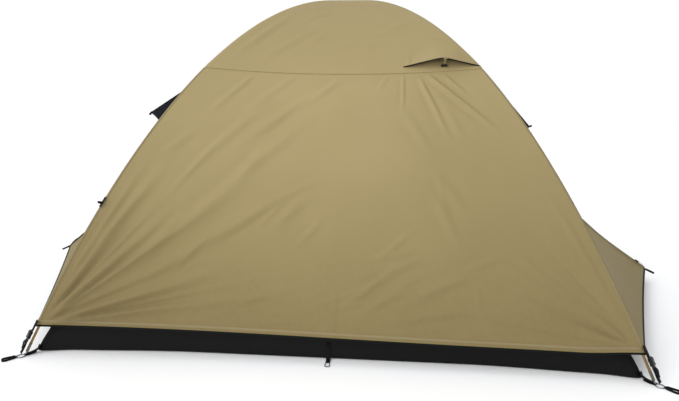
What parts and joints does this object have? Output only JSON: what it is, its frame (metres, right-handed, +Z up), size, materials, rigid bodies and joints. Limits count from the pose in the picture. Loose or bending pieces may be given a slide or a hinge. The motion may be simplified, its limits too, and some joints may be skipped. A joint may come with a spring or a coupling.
{
  "type": "dome tent",
  "caption": "Free-standing dome tent on two crossing poles, with a full fly, a black tub floor and a staked vestibule with a door on each side.",
  "frame": {"origin": "centre of the floor's underside, on the ground", "axes": "+X through the two vestibules, +Y from the near end to the far end, +Z up"},
  "size_m": [3.3348, 2.34, 1.452],
  "materials": {
    "fly_fabric": "coated ripstop nylon, satin",
    "inner_fabric": "uncoated woven nylon",
    "mesh_fabric": "fine no-see-um netting",
    "floor_fabric": "coated taffeta",
    "webbing": "woven webbing",
    "anodised_pole": "gold anodised",
    "steel": "bright wire",
    "black_plastic": "moulded acetal"
  },
  "bodies": {
    "tent": {"pole_a_section_1": "anodised_pole", "pole_a_section_2": "anodised_pole", "pole_a_section_3": "anodised_pole", "pole_a_section_4": "anodised_pole", "pole_b_section_1": "anodised_pole", "pole_b_section_2": "anodised_pole", "pole_b_section_3": "anodised_pole", "pole_b_section_4": "anodised_pole", "fly_roof_cap": "fly_fabric", "fly_end_near": "fly_fabric", "fly_end_far": "fly_fabric", "fly_side_right": "fly_fabric", "fly_side_left": "fly_fabric", "floor_tub": "floor_fabric", "inner_side_right": "inner_fabric", "inner_end_far": "inner_fabric", "inner_side_left": "inner_fabric", "inner_end_near": "inner_fabric", "apex_clip": "black_plastic", "pole_clip_near_right": "black_plastic", "pole_clip_far_right": "black_plastic", "pole_clip_far_left": "black_plastic", "pole_clip_near_left": "black_plastic", "ring_pin_near_right": "steel", "corner_strap_near_right": "webbing", "fly_buckle_male_near_right": "black_plastic", "ring_pin_far_right": "steel", "corner_strap_far_right": "webbing", "fly_buckle_male_far_right": "black_plastic", "ring_pin_far_left": "steel", "corner_strap_far_left": "webbing", "fly_buckle_male_far_left": "black_plastic", "ring_pin_near_left": "steel", "corner_strap_near_left": "webbing", "fly_buckle_male_near_left": "black_plastic"},
    "end_hood_near": {"end_vent_hood_near": "fly_fabric"},
    "end_prop_near": {"end_vent_prop_near": "black_plastic"},
    "end_hood_far": {"end_vent_hood_far": "fly_fabric"},
    "end_prop_far": {"end_vent_prop_far": "black_plastic"},
    "side_hood_right": {"side_vent_hood_right": "fly_fabric"},
    "side_hood_left": {"side_vent_hood_left": "fly_fabric"},
    "vestibule_flap_right": {"vestibule_door_right": "fly_fabric"},
    "vestibule_flap_left": {"vestibule_door_left": "fly_fabric"},
    "inner_flap_right": {"inner_door_right": "mesh_fabric"},
    "inner_flap_left": {"inner_door_left": "mesh_fabric"},
    "vestibule_slider_right": {"vestibule_zip_slider_right": "black_plastic"},
    "vestibule_slider_left": {"vestibule_zip_slider_left": "black_plastic"},
    "inner_slider_right": {"inner_zip_slider_right": "black_plastic"},
    "inner_slider_left": {"inner_zip_slider_left": "black_plastic"},
    "buckle_near_right": {"fly_buckle_female_near_right": "black_plastic"},
    "loop_near_right": {"stake_loop_near_right": "webbing"},
    "buckle_far_right": {"fly_buckle_female_far_right": "black_plastic"},
    "loop_far_right": {"stake_loop_far_right": "webbing"},
    "buckle_far_left": {"fly_buckle_female_far_left": "black_plastic"},
    "loop_far_left": {"stake_loop_far_left": "webbing"},
    "buckle_near_left": {"fly_buckle_female_near_left": "black_plastic"},
    "loop_near_left": {"stake_loop_near_left": "webbing"},
    "vestibule_loop_right": {"vestibule_stake_loop_right": "webbing"},
    "vestibule_loop_left": {"vestibule_stake_loop_left": "webbing"}
  },
  "joints": [
    {"name": "end_vent_near_hood", "type": "hinge", "parent": "tent", "child": "end_hood_near", "pos_m": [0.44, -0.47978, 1.20357], "axis": [1, 0, 0], "range_deg": [0, 16]},
    {"name": "end_vent_near_prop", "type": "hinge", "parent": "tent", "child": "end_prop_near", "pos_m": [0.44, -0.57263, 1.08959], "axis": [1, 0, 0], "range_deg": [0, 80]},
    {"name": "end_vent_far_hood", "type": "hinge", "parent": "tent", "child": "end_hood_far", "pos_m": [-0.44, 0.47978, 1.20357], "axis": [-1, 0, 0], "range_deg": [0, 16]},
    {"name": "end_vent_far_prop", "type": "hinge", "parent": "tent", "child": "end_prop_far", "pos_m": [-0.44, 0.57263, 1.08959], "axis": [-1, 0, 0], "range_deg": [0, 80]},
    {"name": "side_vent_right_hood", "type": "hinge", "parent": "tent", "child": "side_hood_right", "pos_m": [0.65298, -0.466, 0.98], "axis": [0, -1, 0], "range_deg": [0, 24]},
    {"name": "side_vent_left_hood", "type": "hinge", "parent": "tent", "child": "side_hood_left", "pos_m": [-0.65298, -0.466, 0.98], "axis": [0, -1, 0], "range_deg": [0, 24]},
    {"name": "vestibule_door_right_fold", "type": "hinge", "parent": "tent", "child": "vestibule_flap_right", "pos_m": [0.80522, 0, 0.72], "axis": [-0.2182, -0.8479, 0.4832], "range_deg": [0, 120]},
    {"name": "vestibule_door_left_fold", "type": "hinge", "parent": "tent", "child": "vestibule_flap_left", "pos_m": [-0.80522, 0, 0.72], "axis": [-0.2182, 0.8479, -0.4832], "range_deg": [0, 120]},
    {"name": "inner_door_right_drop", "type": "hinge", "parent": "tent", "child": "inner_flap_right", "pos_m": [0.9939, 0, 0.18], "axis": [0, -1, 0], "range_deg": [0, 68]},
    {"name": "inner_door_left_drop", "type": "hinge", "parent": "tent", "child": "inner_flap_left", "pos_m": [-0.9939, 0, 0.18], "axis": [0, 1, 0], "range_deg": [0, 68]},
    {"name": "vestibule_zip_right_slide", "type": "slide", "parent": "tent", "child": "vestibule_slider_right", "axis": [-0.8079, 0, 0.5893], "range_m": [0, 0.5658]},
    {"name": "vestibule_zip_left_slide", "type": "slide", "parent": "tent", "child": "vestibule_slider_left", "axis": [0.8079, 0, 0.5893], "range_m": [0, 0.5658]},
    {"name": "inner_zip_right_slide", "type": "slide", "parent": "tent", "child": "inner_slider_right", "axis": [-0.4774, 0.2253, 0.8493], "range_m": [0, 0.7453]},
    {"name": "inner_zip_left_slide", "type": "slide", "parent": "tent", "child": "inner_slider_left", "axis": [0.4774, 0.2253, 0.8493], "range_m": [0, 0.7453]},
    {"name": "buckle_near_right_release", "type": "slide", "parent": "tent", "child": "buckle_near_right", "axis": [-0.3343, 0.3343, 0.8812], "range_m": [0, 0.024]},
    {"name": "stake_loop_near_right_lift", "type": "hinge", "parent": "tent", "child": "loop_near_right", "pos_m": [1.1329, -1.1329, 0.0013], "axis": [-0.7071, -0.7071, 0], "range_deg": [0, 110]},
    {"name": "buckle_far_right_release", "type": "slide", "parent": "tent", "child": "buckle_far_right", "axis": [-0.3343, -0.3343, 0.8812], "range_m": [0, 0.024]},
    {"name": "stake_loop_far_right_lift", "type": "hinge", "parent": "tent", "child": "loop_far_right", "pos_m": [1.1329, 1.1329, 0.0013], "axis": [0.7071, -0.7071, 0], "range_deg": [0, 110]},
    {"name": "buckle_far_left_release", "type": "slide", "parent": "tent", "child": "buckle_far_left", "axis": [0.3343, -0.3343, 0.8812], "range_m": [0, 0.024]},
    {"name": "stake_loop_far_left_lift", "type": "hinge", "parent": "tent", "child": "loop_far_left", "pos_m": [-1.1329, 1.1329, 0.0013], "axis": [0.7071, 0.7071, 0], "range_deg": [0, 110]},
    {"name": "buckle_near_left_release", "type": "slide", "parent": "tent", "child": "buckle_near_left", "axis": [0.3343, 0.3343, 0.8812], "range_m": [0, 0.024]},
    {"name": "stake_loop_near_left_lift", "type": "hinge", "parent": "tent", "child": "loop_near_left", "pos_m": [-1.1329, -1.1329, 0.0013], "axis": [-0.7071, 0.7071, 0], "range_deg": [0, 110]},
    {"name": "vestibule_loop_right_swing", "type": "hinge", "parent": "tent", "child": "vestibule_loop_right", "pos_m": [1.62322, 0, 0.07812], "axis": [0, 1, 0], "range_deg": [-90, 60]},
    {"name": "vestibule_loop_left_swing", "type": "hinge", "parent": "tent", "child": "vestibule_loop_left", "pos_m": [-1.62322, 0, 0.07812], "axis": [0, -1, 0], "range_deg": [-90, 60]}
  ],
  "couplings": [
    {"joint": "end_vent_near_prop", "follows": "end_vent_near_hood", "ratio": 5},
    {"joint": "end_vent_far_prop", "follows": "end_vent_far_hood", "ratio": 5}
  ]
}
